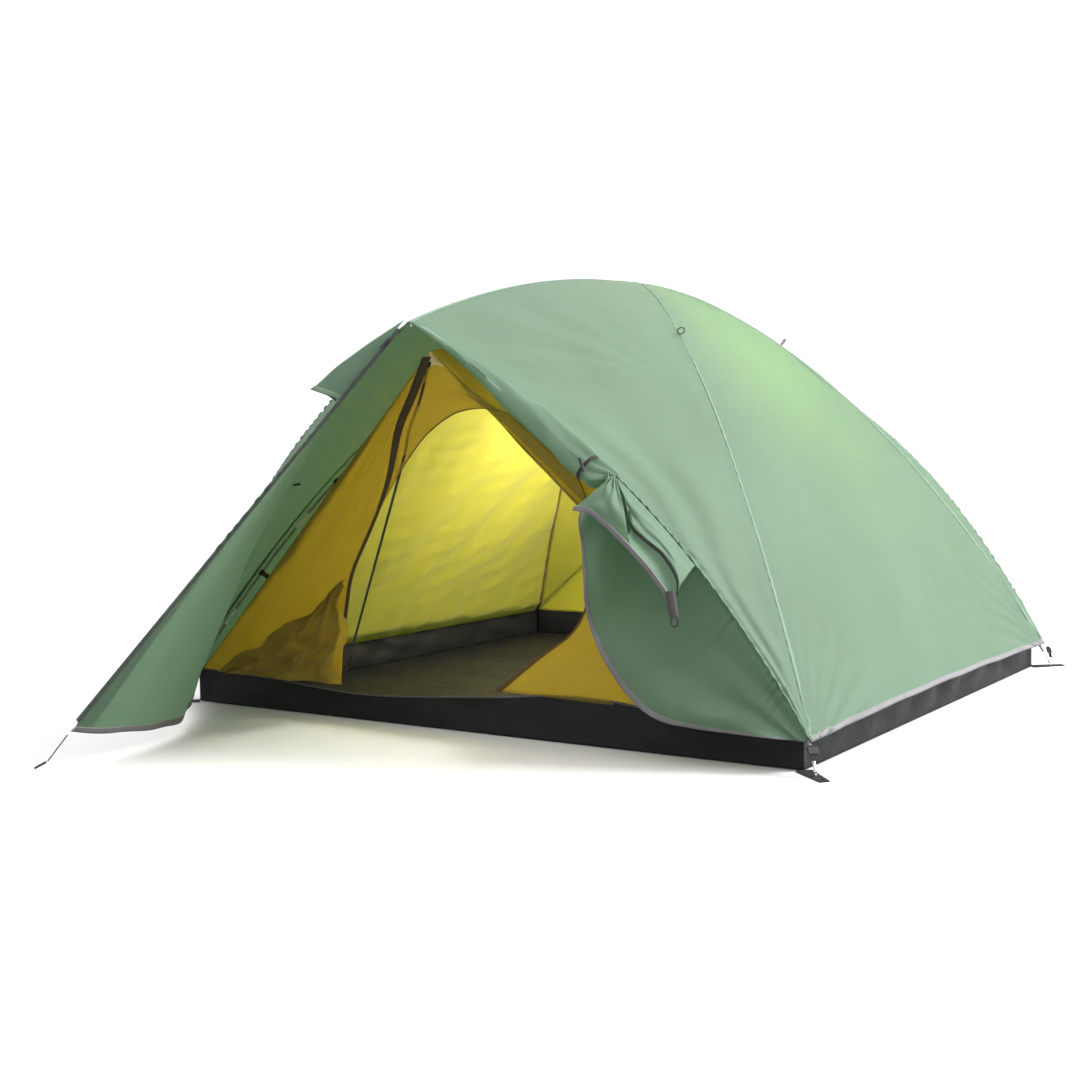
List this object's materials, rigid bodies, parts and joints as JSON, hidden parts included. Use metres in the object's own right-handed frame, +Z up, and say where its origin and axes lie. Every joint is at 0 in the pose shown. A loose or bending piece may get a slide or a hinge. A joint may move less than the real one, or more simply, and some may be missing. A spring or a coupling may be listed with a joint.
{
  "type": "dome tent on poles",
  "caption": "Dome tent on crossed poles with a ridge pole, an inner tent, a fly with an open rolled front door, vestibules front and rear, and vent hoods.",
  "frame": {"origin": "middle of the tent floor, on the ground", "axes": "+Z up; -Y towards the open front door; +X to the right as seen from the front; the floor is longest along X, and the vestibules make the whole tent longest along Y"},
  "size_m": [2.3016, 3.8744, 1.3393],
  "materials": {
    "fly_cloth": "thin coated polyester, pale green",
    "inner_cloth": "thin breathable nylon, yellow",
    "floor_cloth": "coated black polyester",
    "hem_tape": "grey woven binding",
    "pole_tube": "grey drawn tube",
    "pole_metal": "bright drawn metal",
    "elastic": "braided elastic",
    "webbing": "black woven webbing",
    "zip_tape": "woven tape with a coil",
    "zip_metal": "black painted casting",
    "black_plastic": "moulded black plastic"
  },
  "bodies": {
    "tent": {"bathtub_walls": "floor_cloth", "clip_webbing": "webbing", "corner_straps": "webbing", "corner_tabs": "webbing", "crest_straps": "webbing", "crown_clip": "black_plastic", "door_flap": "fly_cloth", "door_roll": "fly_cloth", "door_tie_loop": "elastic", "fly_body_front_left": "fly_cloth", "fly_body_front_right": "fly_cloth", "fly_body_rear_left": "fly_cloth", "fly_body_rear_right": "fly_cloth", "fly_end_left": "fly_cloth", "fly_end_right": "fly_cloth", "fly_hem_tapes": "hem_tape", "fly_zips": "zip_tape", "guy_loops": "elastic", "inner_door_bundle": "inner_cloth", "inner_end_left": "inner_cloth", "inner_end_right": "inner_cloth", "inner_floor": "floor_cloth", "inner_front_wall": "inner_cloth", "inner_rear_wall": "inner_cloth", "inner_roof_front_left": "inner_cloth", "inner_roof_front_right": "inner_cloth", "inner_roof_rear_left": "inner_cloth", "inner_roof_rear_right": "inner_cloth", "inner_zips": "zip_tape", "main_pole_1_ends": "pole_metal", "main_pole_1_sections": "pole_tube", "main_pole_1_sleeves": "pole_metal", "main_pole_2_ends": "pole_metal", "main_pole_2_sections": "pole_tube", "main_pole_2_sleeves": "pole_metal", "pole_clips": "black_plastic", "ridge_pole_ends": "pole_metal", "ridge_pole_sections": "pole_tube", "ridge_pole_sleeves": "pole_metal", "shock_cords": "elastic", "vent_hood_front": "fly_cloth", "vent_hood_rear": "fly_cloth", "vestibule_front_left": "fly_cloth", "vestibule_rear_door": "fly_cloth", "vestibule_rear_right": "fly_cloth"},
    "fly_zip_slider_front": {"fly_zip_slider_front": "zip_metal"},
    "fly_zip_slider_rear": {"fly_zip_slider_rear": "zip_metal"},
    "inner_zip_slider_front": {"inner_zip_slider_front": "zip_metal"},
    "inner_zip_slider_rear": {"inner_zip_slider_rear": "zip_metal"},
    "door_toggle": {"door_toggle": "black_plastic"},
    "spare_toggle": {"spare_toggle": "black_plastic"},
    "crest_hook_front": {"crest_hook_front": "black_plastic"},
    "crest_hook_rear": {"crest_hook_rear": "black_plastic"},
    "vent_prop_front": {"vent_prop_front": "black_plastic"},
    "vent_prop_rear": {"vent_prop_rear": "black_plastic"},
    "strap_buckle_a": {"strap_buckle_a": "black_plastic"},
    "strap_buckle_b": {"strap_buckle_b": "black_plastic"},
    "strap_buckle_c": {"strap_buckle_c": "black_plastic"},
    "strap_buckle_d": {"strap_buckle_d": "black_plastic"}
  },
  "joints": [
    {"name": "fly_zip_front", "type": "slide", "parent": "tent", "child": "fly_zip_slider_front", "axis": [-0.4201, -0.4962, -0.7598], "range_m": [0, 1.12]},
    {"name": "fly_zip_rear", "type": "slide", "parent": "tent", "child": "fly_zip_slider_rear", "axis": [0.4201, 0.4962, -0.7598], "range_m": [0, 1.12]},
    {"name": "inner_zip_front", "type": "slide", "parent": "tent", "child": "inner_zip_slider_front", "axis": [0.4249, -0.104, 0.8993], "range_m": [0, 0.82]},
    {"name": "inner_zip_rear", "type": "slide", "parent": "tent", "child": "inner_zip_slider_rear", "axis": [-0.4249, 0.104, 0.8993], "range_m": [0, 0.82]},
    {"name": "door_toggle_turn", "type": "hinge", "parent": "tent", "child": "door_toggle", "pos_m": [0.53392, -1.15621, 0.75717], "axis": [0.2661, -0.958, 0.1065], "range_deg": [-90, 90]},
    {"name": "spare_toggle_turn", "type": "hinge", "parent": "tent", "child": "spare_toggle", "pos_m": [-0.49327, -1.09232, 0.70353], "axis": [0.2873, 0.9578, 0], "range_deg": [-60, 60]},
    {"name": "crest_hook_front_turn", "type": "hinge", "parent": "tent", "child": "crest_hook_front", "pos_m": [-0.618, -1.907, 0.022], "axis": [-0.7781, 0.6281, 0], "range_deg": [-8, 30]},
    {"name": "crest_hook_rear_turn", "type": "hinge", "parent": "tent", "child": "crest_hook_rear", "pos_m": [0.618, 1.907, 0.022], "axis": [0.7781, -0.6281, 0], "range_deg": [-8, 30]},
    {"name": "vent_prop_front_fold", "type": "hinge", "parent": "tent", "child": "vent_prop_front", "pos_m": [-0.17467, -1.31969, 0.95765], "axis": [0.7651, -0.6439, -0.0026], "range_deg": [0, 45]},
    {"name": "vent_prop_rear_fold", "type": "hinge", "parent": "tent", "child": "vent_prop_rear", "pos_m": [0.17467, 1.31969, 0.95765], "axis": [-0.7651, 0.6439, -0.0026], "range_deg": [0, 45]},
    {"name": "strap_buckle_a_slide", "type": "slide", "parent": "tent", "child": "strap_buckle_a", "axis": [-0.1962, -0.1822, -0.9635], "range_m": [0, 0.01]},
    {"name": "strap_buckle_b_slide", "type": "slide", "parent": "tent", "child": "strap_buckle_b", "axis": [0.3787, -0.3516, -0.8561], "range_m": [0, 0.01]},
    {"name": "strap_buckle_c_slide", "type": "slide", "parent": "tent", "child": "strap_buckle_c", "axis": [0.1962, 0.1822, -0.9635], "range_m": [0, 0.01]},
    {"name": "strap_buckle_d_slide", "type": "slide", "parent": "tent", "child": "strap_buckle_d", "axis": [-0.3787, 0.3516, -0.8561], "range_m": [0, 0.01]}
  ]
}
